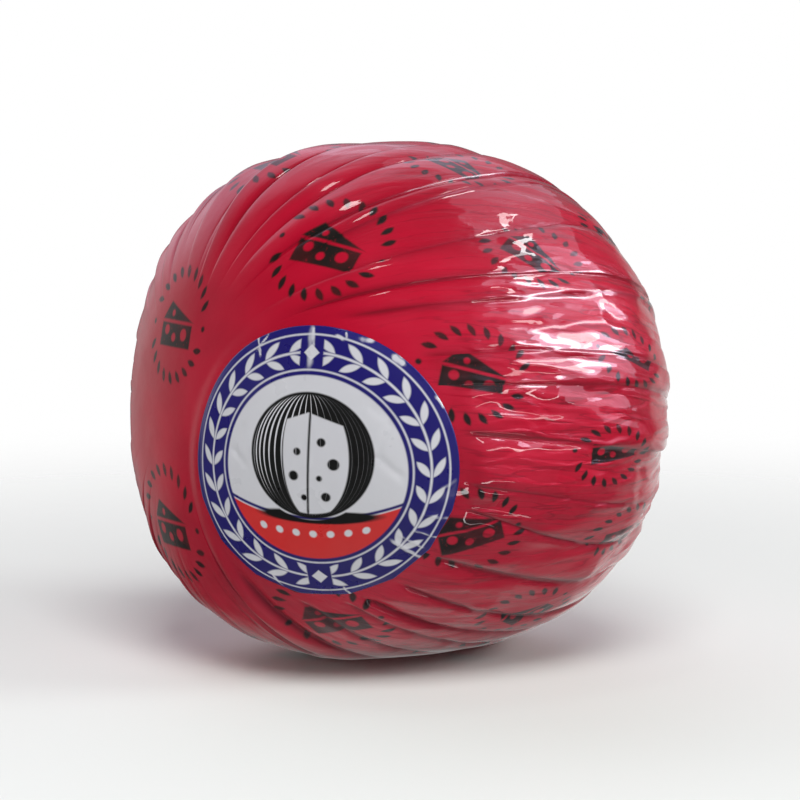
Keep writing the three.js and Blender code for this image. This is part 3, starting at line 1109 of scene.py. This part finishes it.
# The room's soft glows: where each one is, how wide it reaches as cosines, its strength and its colour.
ROOM_GLOWS = (
    ((0.35, 0.7, -0.62), 0.7, 0.86, 0.29, (1.0, 0.95, 0.93)),
    ((0.0, 0.0, -1.0), 0.6, 1.0, 0.14, (1.0, 0.95, 0.93)),
    ((-0.35, 0.75, 0.56), 0.8, 0.97, 0.56, (1.0, 0.86, 1.12)),
    ((-0.12, 0.95, 0.3), 0.7, 1.0, 0.15, (1.0, 0.92, 1.0)),
    ((0.48, 0.86, -0.2), 0.9, 0.95, 0.5, (1.0, 0.94, 0.92)),
    ((-0.6, 0.8, 0.0), 0.86, 1.0, 0.4, (1.0, 0.94, 0.9)),
)
ROOM_DARK = 0.03


def make_surroundings(scene):
    """The room: white as the camera sees it, and dim in the gloss, with soft glows added up.

    A glow rises smoothly with the cosine between its own direction and the one looked in.
    """
    world = bpy.data.worlds.new("studio")
    graph = Graph(world, "Background")
    looked = graph.node("TexCoord", {}, "Generated")
    total = (ROOM_DARK, ROOM_DARK, ROOM_DARK)
    for toward, low, high, strength, colour in ROOM_GLOWS:
        cosine = graph.vector("DOT_PRODUCT", looked, Vector(toward).normalized(), "Value")
        glow = [strength * part for part in colour]
        inputs = {0: graph.ramp(cosine, low, high), 1: glow, 2: total}
        total = graph.node("VectorMath", inputs, operation="MULTIPLY_ADD")
    seen = graph.mix(graph.node("LightPath", {}, "Is Camera Ray"), total, (1, 1, 1, 1))
    graph.put(graph.shader, {"Color": seen})
    scene.world = world


# The lamps by what doesn't see them: the name, place, size and power of each, and its colour if not white.
PINK = (1.0, 0.9, 1.12)
LAMPS = {
    "": (
        ("ceiling", (0.2, 1.1, 0.75), (0.8, 0.4), 0.35, PINK),
        ("small_lamp", (-0.12, 0.05, 1.4), (0.24, 0.12), 0.55),
    ),
    "visible_diffuse": (
        ("window", (0.965, -0.02, 0.49), (0.74, 0.13), 2.7),
        ("window_frame", (0.965, -0.02, 0.49), (0.8, 0.28), 2.2, PINK),
        ("upper_window", (0.65, 0.24, 0.87), (0.44, 0.06), 0.5),
        ("low_window", (0.86, -0.42, 0.17), (0.34, 0.035), 0.17),
        ("table_glint", (0.62, -0.52, -0.42), (0.5, 0.03), 0.16),
        ("window_glow", (1.02, 0.04, 0.5), (0.82, 0.75), 1.7, PINK),
        ("wall_glow", (0.62, 0.55, 0.92), (0.8, 0.5), 0.6, PINK),
    ),
    "visible_glossy": (
        ("window_fill", (0.886, -0.188, 0.49), (0.36, 0.3), 4.0),
        ("front_fill", (0.1, -0.9, 1.3), (0.8, 0.8), 18.0),
        ("right_fill", (0.8, -1.0, 0.5), (0.8, 0.8), 3.2),
        ("left_fill", (-1.1, -0.2, 0.2), (0.8, 0.5), 3.4),
        ("back_left_fill", (-0.75, 0.85, 0.45), (1.2, 1.0), 5.5),
    ),
}


class CHEESEBALL_OT_stage(bpy.types.Operator):
    """Makes the floor, the soft boxes and the camera"""

    bl_idname = "cheese_ball.stage"
    bl_label = "Make Stage"

    def execute(self, context):
        scene = context.scene
        settings = scene.cheese_stage
        make_floor(settings)
        for unseen, lamps in LAMPS.items():
            for lamp in lamps:
                holder = make_lamp(*lamp)
                if unseen:
                    setattr(holder, unseen, False)
        make_surroundings(scene)
        camera = bpy.data.cameras.new("camera")
        camera.sensor_width = SENSOR_WIDTH
        distance = settings.camera_distance
        camera.lens = settings.pixels_a_millimetre * distance / MM / IMAGE_WIDTH * SENSOR_WIDTH
        height = settings.camera_height
        backward = np.array([0, -math.cos(height), math.sin(height)])
        upward = np.array([0, math.sin(height), math.cos(height)])
        aim = (BALL_MIDDLE + [AIM_ASIDE, 0, 0] + AIM_UP * upward) * MM
        holder = bpy.data.objects.new("camera", camera)
        scene.collection.objects.link(holder)
        holder.location = aim + distance * backward
        holder.rotation_euler = (math.pi / 2 - height, 0, 0)
        scene.camera = holder
        scene.view_settings.view_transform = "Standard"
        return {"FINISHED"}


class CHEESEBALL_PT_panel(bpy.types.Panel):
    """Lists the cheese ball's pieces in the sidebar"""

    bl_label = "Cheese Ball"
    bl_idname = "CHEESEBALL_PT_panel"
    bl_space_type = "VIEW_3D"
    bl_region_type = "UI"
    bl_category = "Cheese Ball"

    def draw(self, context):
        scene = context.scene
        for operator, settings in (
            (CHEESEBALL_OT_film, scene.cheese_film),
            (CHEESEBALL_OT_label, scene.cheese_label),
            (CHEESEBALL_OT_stage, scene.cheese_stage),
        ):
            box = self.layout.box()
            for name in settings.bl_rna.properties.keys():
                if name not in ("rna_type", "name"):
                    box.prop(settings, name)
            box.operator(operator.bl_idname)


SETTINGS = {
    "cheese_film": CHEESEBALL_PG_film,
    "cheese_label": CHEESEBALL_PG_label,
    "cheese_stage": CHEESEBALL_PG_stage,
}
OPERATORS = (CHEESEBALL_OT_film, CHEESEBALL_OT_label, CHEESEBALL_OT_stage)


def register():
    """Makes the classes and the scene's settings known to Blender."""
    for group in (*SETTINGS.values(), *OPERATORS, CHEESEBALL_PT_panel):
        bpy.utils.register_class(group)
    for name, group in SETTINGS.items():
        setattr(bpy.types.Scene, name, bpy.props.PointerProperty(type=group))


def unregister():
    """Takes the settings and the classes away again."""
    for name in SETTINGS:
        delattr(bpy.types.Scene, name)
    for group in (CHEESEBALL_PT_panel, *reversed(OPERATORS), *SETTINGS.values()):
        bpy.utils.unregister_class(group)


def main():
    """Makes every piece."""
    register()
    for operator in OPERATORS:
        group, name = operator.bl_idname.split(".")
        getattr(getattr(bpy.ops, group), name)()


if __name__ == "__main__":
    main()
